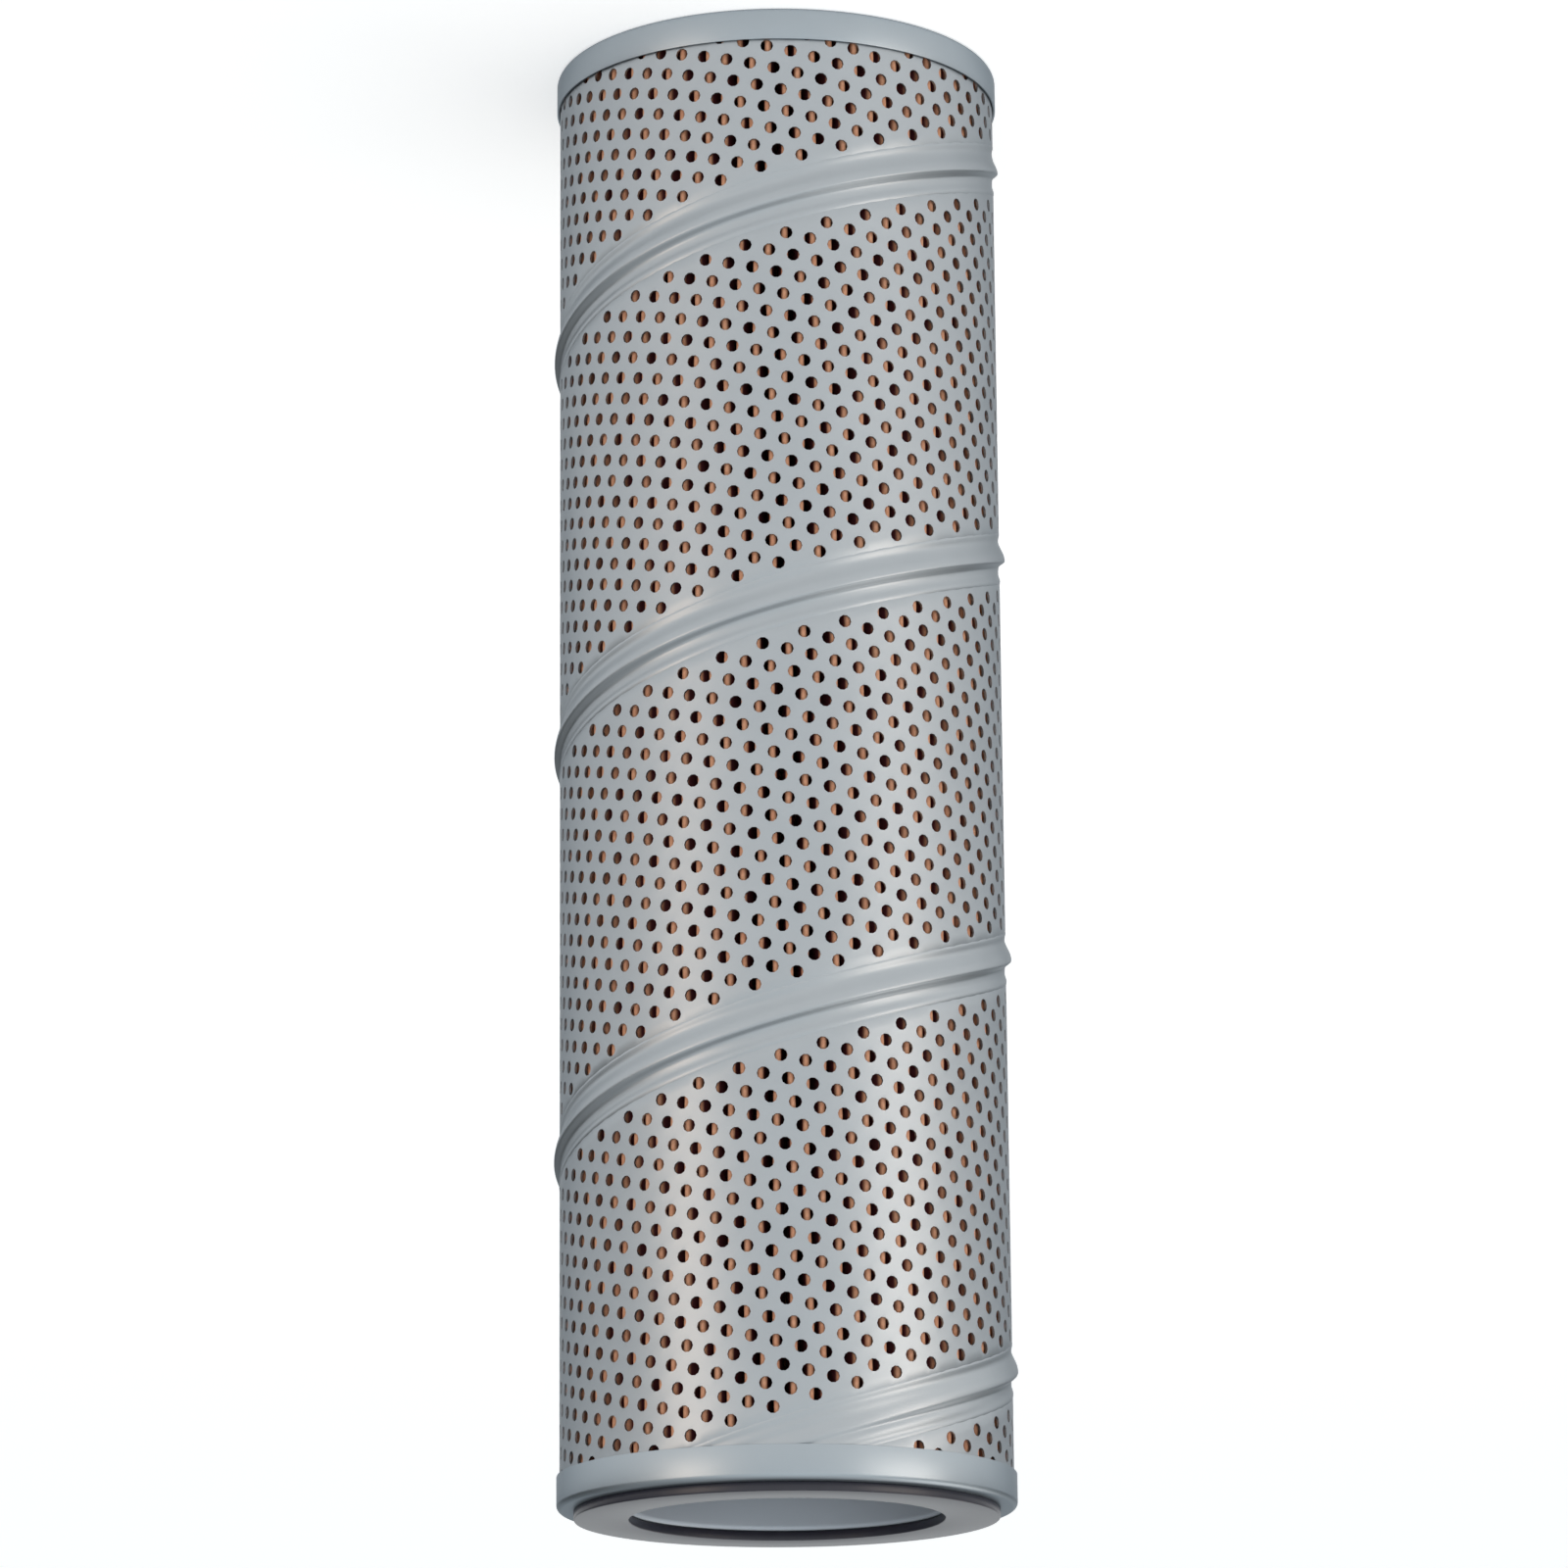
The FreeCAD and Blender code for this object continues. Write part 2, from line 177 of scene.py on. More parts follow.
# %% Punch a sheet and roll it up
def perforate(radius, sheet, slope, start_height, first, step, columns, lines, holes, hole_r,
              sides, sink):
    """a rolled sheet from the tube's foot to its head: lines are the cells' edges across it, holes
    says which lines carry holes, and sink says how far a line lies below the sheet's face"""
    points, faces, numbers = [], [], {}

    def place(along, across, depth=0):
        return roll(along, across, radius - depth, slope, radius, start_height)

    def point(key, along, across):
        if key not in numbers:
            numbers[key] = len(points)
            x, y, z = place(along, across, sink.get(key[1], 0))
            points.append((x, y, min(max(z, TUBE_FOOT), TUBE_HEAD)))
        return numbers[key]

    turns = [2 * math.pi * (n + 0.5) / sides for n in range(sides)]
    ring = [(hole_r * math.cos(turn), hole_r * math.sin(turn)) for turn in turns]
    punched = 0
    for column, hole_line, keys in cells(columns, len(lines), holes):
        flat = [(first + (c - 0.5) * step, lines[k]) for c, k in keys]
        heights = [place(*spot)[2] for spot in flat]
        if max(heights) <= TUBE_FOOT or min(heights) >= TUBE_HEAD:
            continue
        corners = [point(key, *spot) for key, spot in zip(keys, flat)]
        if hole_line is None or min(heights) < TUBE_FOOT or max(heights) > TUBE_HEAD:
            faces.append(corners)
            continue
        middle, centre = first + column * step, lines[hole_line]
        loop = corners + [point((column, hole_line, n), middle + x, centre + y)
                          for n, (x, y) in enumerate(ring)]
        rim = [(along - middle, across - centre) for along, across in flat]
        faces += [[loop[n] for n in triangle] for triangle in bridge(rim, ring)]
        punched += 1
    print("%d holes punched" % punched)
    return thicken(points, faces, radius, sheet)


# %% [markdown]
# ## The outer strip
# On the real strip the holes are 2.7 mm across and about 5 mm apart, 28 rows of them, with a plain
# margin at each edge for the seam. Along each edge the strip lies a little lower, so that the seam
# covers it. Ten sides a hole are enough at this size, and keep the strip under two hundred
# thousand triangles.

# %% Rule the strip
HOLE_R = 1.35
HOLE_SIDES = 10
COLUMN_STEP = 4.4675
ROW_STEP = 2.5194
ROWS = 28
# how far along the strip, from where it starts at +X, the holes of column 0 stand
FIRST_HOLE = -0.472
MARGIN = (STRIP_WIDTH - (ROWS + 1) * ROW_STEP) / 2
SUNK_WIDTH = 4.7
SUNK_DEPTH = 0.35
EDGE_LINES = 2
row_lines = [MARGIN + n * ROW_STEP for n in range(ROWS + 2)]
strip_lines = [0, SUNK_WIDTH] + row_lines + [STRIP_WIDTH - SUNK_WIDTH, STRIP_WIDTH]
edge_sink = {line % len(strip_lines): SUNK_DEPTH for line in (0, 1, -2, -1)}
print("plain margin %.2f mm at each edge of the strip" % MARGIN)


def strip_hole(column, line):
    """holes stand on every second line, one line higher in every second column"""
    row = line - EDGE_LINES - (2 if column % 2 == 0 else 1)
    return 0 <= row < ROWS and row % 2 == 0


# %% Punch and roll the outer strip
reach = [(end - SEAM_AT_X - across * math.cos(SLOPE)) / math.sin(SLOPE) / COLUMN_STEP
         for end, across in ((TUBE_FOOT, strip_lines[-1]), (TUBE_HEAD, strip_lines[0]))]
strip_points, strip_faces = perforate(
    TUBE_R, TUBE_SHEET, SLOPE, SEAM_AT_X, first=FIRST_HOLE, step=COLUMN_STEP,
    columns=range(math.floor(reach[0]) - 1, math.ceil(reach[1]) + 2), lines=strip_lines,
    holes=strip_hole, hole_r=HOLE_R, sides=HOLE_SIDES, sink=edge_sink)
make_piece("perforated_strip", strip_points, strip_faces, ["outer_tube"])

# %% [markdown]
# ## The lock seam
# Neighbouring turns of the strip are folded over each other and rolled down. From outside that is
# a ridge as thick as the folds, with a long flank on one side, a short steep one on the other, and
# a shallow groove beside each. One cross-section carried along the seam shows all of it. Where the
# seam runs under a cap it has been rolled flat, and only low ripples are left of its folds. So
# each point of the section has two heights, and near a cap the seam passes from one to the other.

# %% A helper that joins outlines which follow each other
def skin(count, size, turned=False):
    """faces between outlines of one size, and one at each end; turned swaps inside and outside"""
    faces = []
    for start in range(0, (count - 1) * size, size):
        for k in range(size):
            here, after = start + k, start + (k + 1) % size
            corners = [here, after, after + size, here + size]
            faces.append(corners[:1] + corners[:0:-1] if turned else corners)
    ends = [list(range(size)), list(range((count - 1) * size, count * size))]
    ends[1 if turned else 0].reverse()
    return faces + ends


# %% Draw the seam's section
# each point: how far across from the seam's middle, height of the folded seam, height rolled flat
SEAM_SECTION = [
    (-5.7, -0.08, -0.08), (-5.35, 0.03, 0.03), (-5.0, 0.02, 0.04), (-4.5, -0.12, -0.14),
    (-4.0, -0.2, -0.22), (-3.6, -0.19, -0.2), (-3.2, -0.1, -0.16), (-2.8, 0.06, -0.17),
    (-2.3, 0.28, -0.25), (-1.8, 0.53, -0.28), (-1.3, 0.78, -0.2), (-0.8, 0.97, -0.1),
    (-0.3, 1.1, 0.0), (0.1, 1.17, 0.06), (0.45, 1.18, 0.1), (0.7, 1.08, 0.1),
    (1.0, 0.72, 0.03), (1.3, 0.25, -0.09), (1.6, -0.08, -0.17), (1.9, -0.2, -0.13),
    (2.3, -0.24, 0.0), (2.8, -0.27, 0.1), (3.3, -0.26, 0.09), (3.8, -0.14, -0.02),
    (4.3, 0.04, -0.12), (4.7, 0.11, -0.07), (5.15, 0.06, 0.05), (5.5, -0.08, -0.08),
    (5.5, -0.36, -0.36), (-5.7, -0.36, -0.36),
]
print("the seam stands %.2f mm proud" % max(folded for _, folded, _ in SEAM_SECTION))

# %% Carry the section along the strip's edge
SEAM_STEP = 2.0
SKIRT_EDGES = (SKIRT_HEIGHT, BODY_TOP - SKIRT_HEIGHT)
FLAT_UP_TO = 3.0
FOLDED_FROM = 18.0
RUN_OVER = 4
END_GAP = 0.5


def smooth(share):
    """a share from 0 to 1 that starts and stops gently"""
    share = min(max(share, 0), 1)
    return share * share * (3 - 2 * share)


def seam_point(along, offset, folded, flat):
    """a point of the seam; its height passes from folded to flat on the way to a cap"""
    x, y, z = roll(along, offset, 1, SLOPE, TUBE_R, SEAM_AT_X)
    clear = min(z - SKIRT_EDGES[0], SKIRT_EDGES[1] - z)
    share = smooth((clear - FLAT_UP_TO) / (FOLDED_FROM - FLAT_UP_TO))
    radius = TUBE_R + flat + (folded - flat) * share
    return x * radius, y * radius, min(max(z, TUBE_FOOT + END_GAP), TUBE_HEAD - END_GAP)


seam_from = (TUBE_FOOT - SEAM_AT_X - RUN_OVER) / math.sin(SLOPE)
seam_to = (TUBE_HEAD - SEAM_AT_X + RUN_OVER) / math.sin(SLOPE)
sections = int((seam_to - seam_from) / SEAM_STEP)
seam_points = [seam_point(seam_from + n * SEAM_STEP, *spot)
               for n in range(sections) for spot in SEAM_SECTION]
seam_faces = skin(sections, len(SEAM_SECTION), turned=True)
make_piece("lock_seam", seam_points, seam_faces, ["outer_tube"])

# %% [markdown]
# ## The centre tube
# The paper is held off the outlet by a tube with larger holes. Its sheet is rolled straight, so
# the same function makes it with no slope, and the two ends of the sheet stand edge to edge on
# the far side, with a hairline between them.

# %% Punch and roll the centre tube
CORE_COLUMNS = 24
CORE_LINES = 61
CORE_MARGIN = 2
CORE_ROWS = CORE_LINES - 2 * CORE_MARGIN
CORE_HOLE_R = 3.0
CORE_HOLE_SIDES = 12
HAIRLINE = 0.1
core_step = (2 * math.pi * CORE_R - HAIRLINE) / CORE_COLUMNS
core_lines = [(TUBE_HEAD - TUBE_FOOT) * n / CORE_LINES for n in range(CORE_LINES + 1)]


def core_hole(column, line):
    """holes stand on every second line, one line higher in every second column"""
    row = line - CORE_MARGIN - column % 2
    return 0 <= row < CORE_ROWS and row % 2 == 0


core_points, core_faces = perforate(
    CORE_R, CORE_SHEET, slope=0, start_height=TUBE_FOOT,
    first=(CORE_COLUMNS // 4 + 0.5) * core_step, step=core_step, columns=range(CORE_COLUMNS),
    lines=core_lines, holes=core_hole, hole_r=CORE_HOLE_R, sides=CORE_HOLE_SIDES, sink={})
make_piece("perforated_core", core_points, core_faces, ["centre_tube"])

# %% [markdown]
# ## The pleated paper
# One strip of resin-treated paper is folded 91 times and bent into a ring. Behind the holes a fold
# shows as a tan strip beside a dark gap, so the folds need their real pitch, their round backs and
# a little waviness along their length. One closed outline, the paper's outer face and back along
# its inner face, is carried up the pack and shifted by the same slow waves.

# %% Draw the folds in plan
PLEATS = 91
PAPER = 0.6
PAPER_GAP = 0.4
CREST_R = TUBE_R - TUBE_SHEET - PAPER_GAP
ROOT_R = CORE_R + PAPER_GAP
CREST_BEND = 0.7
CREST_STEPS = 7
CREST_INSIDE_STEPS = 3
ROOT_STEPS = 5
CLIP_SHEET = 0.3
CLIP_GAP = 0.1
CLIP_DEPTH = 5.0


def bend(place, centre_r, size, steps, outward):
    """points round the back of a fold, from one side to the other"""
    turns = [math.pi * (n / (steps - 1) - 0.5) for n in range(steps)]
    return [(place, size * math.sin(turn), centre_r + outward * size * math.cos(turn))
            for turn in turns]


# each point: place round the ring in folds, distance sideways from there, radius
end_r = CREST_R - CLIP_SHEET - CLIP_GAP
knee_r = CREST_R - CLIP_DEPTH
near = CLIP_GAP / 2
far = near + PAPER
plan = [(0, far, end_r), (0, far, knee_r), (0.5, 0, ROOT_R + PAPER)]
for place in range(1, PLEATS):
    plan += bend(place, CREST_R - CREST_BEND, CREST_BEND, CREST_STEPS, 1)
    plan.append((place + 0.5, 0, ROOT_R + PAPER))
plan += [(0, -far, knee_r), (0, -far, end_r), (0, -near, end_r), (0, -near, knee_r)]
for place in range(PLEATS - 1, 0, -1):
    plan += reversed(bend(place + 0.5, ROOT_R + PAPER, PAPER, ROOT_STEPS, -1))
    plan += reversed(bend(place, CREST_R - CREST_BEND, CREST_BEND - PAPER, CREST_INSIDE_STEPS, 1))
plan += reversed(bend(0.5, ROOT_R + PAPER, PAPER, ROOT_STEPS, -1))
plan += [(0, near, knee_r), (0, near, end_r)]
print("%d points in plan, folds from %.1f to %.1f mm out" % (len(plan), ROOT_R, CREST_R))

# %% Carry the plan up the pack
LEVELS = 31
# each wave: how far it shifts a fold, mm of height per radian, radians from one fold to the next
WAVES = [(0.3, 19, 1.9), (0.16, 7.3, 4.1)]


def fold_point(place, sideways, radius, height):
    """a point of a fold, shifted sideways by the waves except where the clip holds the paper"""
    free = smooth(min(place, PLEATS - place) / 2) if place > 0 else 0
    wave = sum(shift * math.sin(height / length + step * place) for shift, length, step in WAVES)
    turn = math.pi / 2 + place * 2 * math.pi / PLEATS
    across = sideways + wave * free
    x = radius * math.cos(turn) - across * math.sin(turn)
    y = radius * math.sin(turn) + across * math.cos(turn)
    return x, y, height


levels = np.linspace(PACK_FOOT, PACK_HEAD, LEVELS)
paper_points = [fold_point(*spot, height) for height in levels for spot in plan]
paper_faces = skin(LEVELS, len(plan))
make_piece("folded_paper", paper_points, paper_faces, ["pleated_paper"],
           sharp_over=60)

# %% [markdown]
# ## The pressed caps and the washer
# Caps and washer are round, so each is one outline turned about the axis. The outer bends get
# eight steps here, where the solids have two.

# %% A helper that draws a bend in an outline
BEND_STEPS = 8
INNER_STEPS = 5
LIP_STEPS = 2
SOFT_STEPS = 3


def arc(centre_r, centre_z, radius, start, end, steps=BEND_STEPS):
    """points of a bend in the outline, by its centre, radius and two angles in degrees"""
    angles = [math.radians(start + (end - start) * n / steps) for n in range(steps + 1)]
    return [(centre_r + radius * math.cos(a), centre_z + radius * math.sin(a)) for a in angles]


# %% A helper that turns an outline about the axis
SEGMENTS = 192


def turn_outline(name, outline, replaced):
    """turns an outline, counter-clockwise in radius and height; ends on the axis become points"""
    points, rings, faces = [], [], []
    for radius, height in outline:
        start = len(points)
        if radius == 0:
            points.append((0, 0, height))
            rings.append([start] * SEGMENTS)
            continue
        for n in range(SEGMENTS):
            angle = 2 * math.pi * n / SEGMENTS
            points.append((radius * math.cos(angle), radius * math.sin(angle), height))
        rings.append(list(range(start, start + SEGMENTS)))
    pairs = list(zip(rings, rings[1:] + rings[:1]))
    if outline[0][0] == 0:
        pairs = pairs[:-1]
    for low, high in pairs:
        for n in range(SEGMENTS):
            after = (n + 1) % SEGMENTS
            corners = [low[n], low[after], high[after], high[n]]
            faces.append([c for k, c in enumerate(corners) if c != corners[k - 1]])
    make_piece(name, points, faces, [replaced], sharp_over=40)


# %% Turn the closed cap
SKIRT_BORE_R = CAP_R - CAP_SHEET
INNER_BEND = CAP_BEND - CAP_SHEET
LIP = 0.12
closed_outline = [(0, 0)] + arc(CAP_R - CAP_BEND, CAP_BEND, CAP_BEND, -90, 0)
closed_outline += arc(CAP_R - LIP, SKIRT_HEIGHT - LIP, LIP, 0, 90, LIP_STEPS)
closed_outline += arc(SKIRT_BORE_R + LIP, SKIRT_HEIGHT - LIP, LIP, 90, 180, LIP_STEPS)
closed_outline += arc(SKIRT_BORE_R - INNER_BEND, CAP_SHEET + INNER_BEND, INNER_BEND, 0, -90,
                      INNER_STEPS)
closed_outline += [(0, CAP_SHEET)]
turn_outline("closed_cap_pressing", closed_outline, "closed_end_cap")

# %% Turn the open cap
skirt_edge = BODY_TOP - SKIRT_HEIGHT
inner_bend_z = BODY_TOP - CAP_SHEET - INNER_BEND
collar_end = BODY_TOP - COLLAR_DEPTH
collar_r = OUTLET_R + CAP_SHEET
open_outline = arc(OUTLET_R + CAP_BEND, BODY_TOP - CAP_BEND, CAP_BEND, 180, 90)
open_outline += arc(CAP_R - CAP_BEND, BODY_TOP - CAP_BEND, CAP_BEND, 90, 0)
open_outline += arc(CAP_R - LIP, skirt_edge + LIP, LIP, 0, -90, LIP_STEPS)
open_outline += arc(SKIRT_BORE_R + LIP, skirt_edge + LIP, LIP, 270, 180, LIP_STEPS)
open_outline += arc(SKIRT_BORE_R - INNER_BEND, inner_bend_z, INNER_BEND, 0, 90, INNER_STEPS)
open_outline += arc(collar_r + INNER_BEND, inner_bend_z, INNER_BEND, 90, 180, INNER_STEPS)
open_outline += [(collar_r, collar_end), (OUTLET_R, collar_end)]
turn_outline("open_cap_pressing", open_outline[::-1], "open_end_cap")

# %% Turn the washer
SOFT_EDGE = 0.25
washer_outer = GASKET_R - SOFT_EDGE
washer_inner = GASKET_BORE_R + SOFT_EDGE
washer_outline = arc(washer_outer, BODY_TOP + SOFT_EDGE, SOFT_EDGE, -90, 0, SOFT_STEPS)
washer_outline += arc(washer_outer, GASKET_TOP - SOFT_EDGE, SOFT_EDGE, 0, 90, SOFT_STEPS)
washer_outline += arc(washer_inner, GASKET_TOP - SOFT_EDGE, SOFT_EDGE, 90, 180, SOFT_STEPS)
washer_outline += arc(washer_inner, BODY_TOP + SOFT_EDGE, SOFT_EDGE, 180, 270, SOFT_STEPS)
turn_outline("rubber_washer", washer_outline, "open_end_gasket")

# %% [markdown]
# ## Finishes
# A finish is a small network of nodes. Colours are picked as sRGB hex values, as on any colour
# chart, and turned to the linear values that light is added up in. Patterns are sized in
# millimetres: object coordinates are metres, so a pattern of n mm has a scale of 1000 / n.

# %% Helpers for colours and nodes
def linear(hex_colour):
    """an sRGB hex value as linear red, green and blue, and full opacity"""
    values = [int(hex_colour[n:n + 2], 16) / 255 for n in (1, 3, 5)]
    return [v / 12.92 if v <= 0.04045 else ((v + 0.055) / 1.055) ** 2.4 for v in values] + [1.0]


def add_node(tree, kind, settings=None, links=None):
    """adds a node; settings are values of its sockets or properties, links join its sockets to
    outputs, and a socket goes by its name, or by its number where several share a name"""
    node = tree.nodes.new(kind)
    for key, value in (settings or {}).items():
        if isinstance(key, int) or key in node.inputs:
            node.inputs[key].default_value = value
        else:
            setattr(node, key, value)
    for key, output in (links or {}).items():
        tree.links.new(output, node.inputs[key])
    return node


# the numbers of a Mix node's sockets for two colours, and of its output for the mixed one
COLOUR_A, COLOUR_B, MIXED = 6, 7, 2


def new_finish(name):
    material = bpy.data.materials.new(name)
    material.use_nodes = True
    material.node_tree.nodes.clear()
    print("finish:", name)
    return material, material.node_tree


# %% A helper that tells how far out a point is
def fade_from_axis(tree, where, inner_mm, outer_mm, inner_value=0.0, outer_value=1.0):
    """a value that goes smoothly from one to the other between two radii about the axis"""
    flat = add_node(tree, "ShaderNodeVectorMath", {"operation": "MULTIPLY", 1: (1, 1, 0)},
                    {0: where}).outputs["Vector"]
    radius = add_node(tree, "ShaderNodeVectorMath", {"operation": "LENGTH"},
                      {0: flat}).outputs["Value"]
    fade = add_node(tree, "ShaderNodeMapRange",
                    {"interpolation_type": "SMOOTHSTEP",
                     "From Min": inner_mm * MM, "From Max": outer_mm * MM,
                     "To Min": inner_value, "To Max": outer_value}, {"Value": radius})
    return fade.outputs["Result"]


# %% [markdown]
# ### Zinc-plated steel, from cold-rolled strip
# Thin zinc on rolled steel is a soft, bluish grey metal. It mirrors nothing sharply, so windows
# and lamps become broad bands along the tube. The eye also finds faint clouds in the plating and
# a fine grain. The real grain is finer than a tenth of a millimetre, which wouldn't show, so it is
# drawn about two millimetres wide. Within the outlet's radius the zinc is painted paler, as painted
# light for the lit inside of the bore, and it is rougher there.

# %% Mix the zinc finish
EDGE_TINT = "#A2A6AA"
CLOUD_SPREAD = 0.05
# the colour within the centre radius: painted light for the lit inside of the bore
PAINTED_BORE_LIGHT_COLOUR = "#C6CCD3"
CENTRE_ROUGHNESS = 0.35
CENTRE_FADE = 0.6
CENTRE_REACH = 0.8


def zinc_finish(name, colour, cloudy_colour, roughness, cloud_mm, grain_mm, grain_height_mm,
                painted_light_within_mm=None):
    """satin zinc; up to the given radius it is painted paler, as painted light for the bore's lit
    inside, and rougher
    """
    material, tree = new_finish(name)
    where = add_node(tree, "ShaderNodeTexCoord").outputs["Object"]
    clouds = add_node(tree, "ShaderNodeTexNoise", {"Scale": 1000 / cloud_mm, "Detail": 3.0},
                      {"Vector": where}).outputs["Fac"]
    tint = add_node(tree, "ShaderNodeMix",
                    {"data_type": "RGBA", COLOUR_A: linear(colour),
                     COLOUR_B: linear(cloudy_colour)}, {"Factor": clouds}).outputs[MIXED]
    shine = add_node(tree, "ShaderNodeMapRange",
                     {"To Min": roughness - CLOUD_SPREAD, "To Max": roughness + CLOUD_SPREAD},
                     {"Value": clouds}).outputs["Result"]
    if painted_light_within_mm:
        painted_light_mask = fade_from_axis(tree, where, painted_light_within_mm - CENTRE_FADE, painted_light_within_mm,
                               1.0, 0.0)
        # paler colour within the radius: painted light for the bore's lit inside; the roughness
        # rises there too
        tint = add_node(tree, "ShaderNodeMix",
                        {"data_type": "RGBA", COLOUR_B: linear(PAINTED_BORE_LIGHT_COLOUR)},
                        {"Factor": painted_light_mask, COLOUR_A: tint}).outputs[MIXED]
        shine = add_node(tree, "ShaderNodeMath",
                         {"operation": "MULTIPLY_ADD", 1: CENTRE_ROUGHNESS},
                         {0: painted_light_mask, 2: shine}).outputs[0]
    grain = add_node(tree, "ShaderNodeTexNoise", {"Scale": 1000 / grain_mm, "Detail": 2.0},
                     {"Vector": where}).outputs["Fac"]
    bump = add_node(tree, "ShaderNodeBump", {"Strength": 0.6, "Distance": grain_height_mm * MM},
                    {"Height": grain}).outputs["Normal"]
    shader = add_node(tree, "ShaderNodeBsdfPrincipled",
                      {"Metallic": 1.0, "Specular Tint": linear(EDGE_TINT)},
                      {"Base Color": tint, "Roughness": shine, "Normal": bump})
    add_node(tree, "ShaderNodeOutputMaterial", links={"Surface": shader.outputs["BSDF"]})
    return material


strip_steel = zinc_finish("zinc_plated_strip", "#A3A8AC", "#ADB2B6", roughness=0.42,
                          cloud_mm=14, grain_mm=1.6, grain_height_mm=0.012)
# the pale centre of the pressings is painted light for the lit inside of the bore
cap_steel = zinc_finish("zinc_plated_pressing", "#9DA5AB", "#A6AEB4", roughness=0.40,
                        cloud_mm=18, grain_mm=2.2, grain_height_mm=0.010,
                        painted_light_within_mm=OUTLET_R + CENTRE_REACH)

# %% [markdown]
# ### Resin-treated cellulose paper
# Filter paper is matt and fibrous, and the phenolic resin that stiffens it turns it tan. A fine
# noise stands for the felted fibres. They are a millimetre or two long and too thin to show, so
# the noise has their length. Between the outer and the inner backs of the folds the paper is
# painted
# a dark plum brown: painted shade for the deep, shaded gaps down the folds.

# %% Mix the paper finish
FIBRE_MM = 1.2
NAP_MM = 0.05
# the radii between which the painted shade down the folds and the tan of their backs run into each
# other
OUTER_BACKS = (CREST_R - 1.6, CREST_R - 0.4)
INNER_BACKS = (ROOT_R + 0.8, ROOT_R + 2.5)
paper_finish, tree = new_finish("phenolic_filter_paper")
where = add_node(tree, "ShaderNodeTexCoord").outputs["Object"]
fibres = add_node(tree, "ShaderNodeTexNoise", {"Scale": 1000 / FIBRE_MM, "Detail": 4.0},
                  {"Vector": where}).outputs["Fac"]
tone = add_node(tree, "ShaderNodeValToRGB", links={"Fac": fibres})
for stop, position, colour in zip(tone.color_ramp.elements, (0.3, 0.7), ("#D49473", "#EAAF8C")):
    stop.position = position
    stop.color = linear(colour)
outer_backs = fade_from_axis(tree, where, *OUTER_BACKS)
inner_backs = fade_from_axis(tree, where, *INNER_BACKS, 1.0, 0.0)
backs = add_node(tree, "ShaderNodeMath", {"operation": "ADD"}, {0: outer_backs, 1: inner_backs})
# the dark plum colour between the backs is painted shade for the deep gaps down the folds
fold_shade_paint = add_node(tree, "ShaderNodeMix", {"data_type": "RGBA", COLOUR_A: linear("#783C40")},
                  {"Factor": backs.outputs[0], COLOUR_B: tone.outputs["Color"]})
nap = add_node(tree, "ShaderNodeBump", {"Strength": 0.5, "Distance": NAP_MM * MM},
               {"Height": fibres})
shader = add_node(tree, "ShaderNodeBsdfPrincipled",
                  {"Roughness": 0.9, "IOR": 1.47, "Specular IOR Level": 0.3},
                  {"Base Color": fold_shade_paint.outputs[MIXED], "Normal": nap.outputs["Normal"]})
add_node(tree, "ShaderNodeOutputMaterial", links={"Surface": shader.outputs["BSDF"]})

# %% [markdown]
# ### Nitrile rubber and potting adhesive
# The washer is moulded nitrile: nearly black, with a dull skin that turns grey where it is seen
# at a low angle. The adhesive that the paper stands in is a dull cast resin.

# %% Mix the rubber and adhesive finishes
def dull_finish(name, dark, light, roughness, ior, patch_mm, height_mm):
    """a cast or moulded surface, with patches that differ a little in tone and height"""
    material, tree = new_finish(name)
    where = add_node(tree, "ShaderNodeTexCoord").outputs["Object"]
    patches = add_node(tree, "ShaderNodeTexNoise", {"Scale": 1000 / patch_mm, "Detail": 3.0},
                       {"Vector": where}).outputs["Fac"]
    tone = add_node(tree, "ShaderNodeValToRGB", links={"Fac": patches})
    for stop, colour in zip(tone.color_ramp.elements, (dark, light)):
        stop.color = linear(colour)
    bump = add_node(tree, "ShaderNodeBump", {"Strength": 0.4, "Distance": height_mm * MM},
                    {"Height": patches})
    shader = add_node(tree, "ShaderNodeBsdfPrincipled", {"Roughness": roughness, "IOR": ior},
                      {"Base Color": tone.outputs["Color"], "Normal": bump.outputs["Normal"]})
    add_node(tree, "ShaderNodeOutputMaterial", links={"Surface": shader.outputs["BSDF"]})
    return material


rubber_finish = dull_finish("moulded_nitrile", "#1E1D28", "#2A2935", roughness=0.36, ior=1.52,
                            patch_mm=3, height_mm=0.02)
adhesive_finish = dull_finish("cast_resin", "#8B8170", "#A2967F", roughness=0.6, ior=1.5,
                              patch_mm=6, height_mm=0.1)

# %% Give each piece its finish
FINISHES = {
    "perforated_strip": strip_steel,
    "lock_seam": strip_steel,
    "perforated_core": strip_steel,
    "folded_paper": paper_finish,
    "closed_cap_pressing": cap_steel,
    "open_cap_pressing": cap_steel,
    "rubber_washer": rubber_finish,
    "pleat_seam_clip": strip_steel,
    "closed_end_potting": adhesive_finish,
    "open_end_potting": adhesive_finish,
}
for name, finish in FINISHES.items():
    slots = bpy.data.objects[name].data.materials
    slots.clear()
    slots.append(finish)
print("%d pieces have one of %d finishes" % (len(FINISHES), len(set(FINISHES.values()))))

# %% [markdown]
# ## Camera
# The photograph was taken with the outlet end nearer and the picture then turned upside down, so
# the camera looks down at the standing element by 14 degrees and is rolled half a turn. The long
# lens and the distance come from fitting the outline and the hole pattern of the photograph.

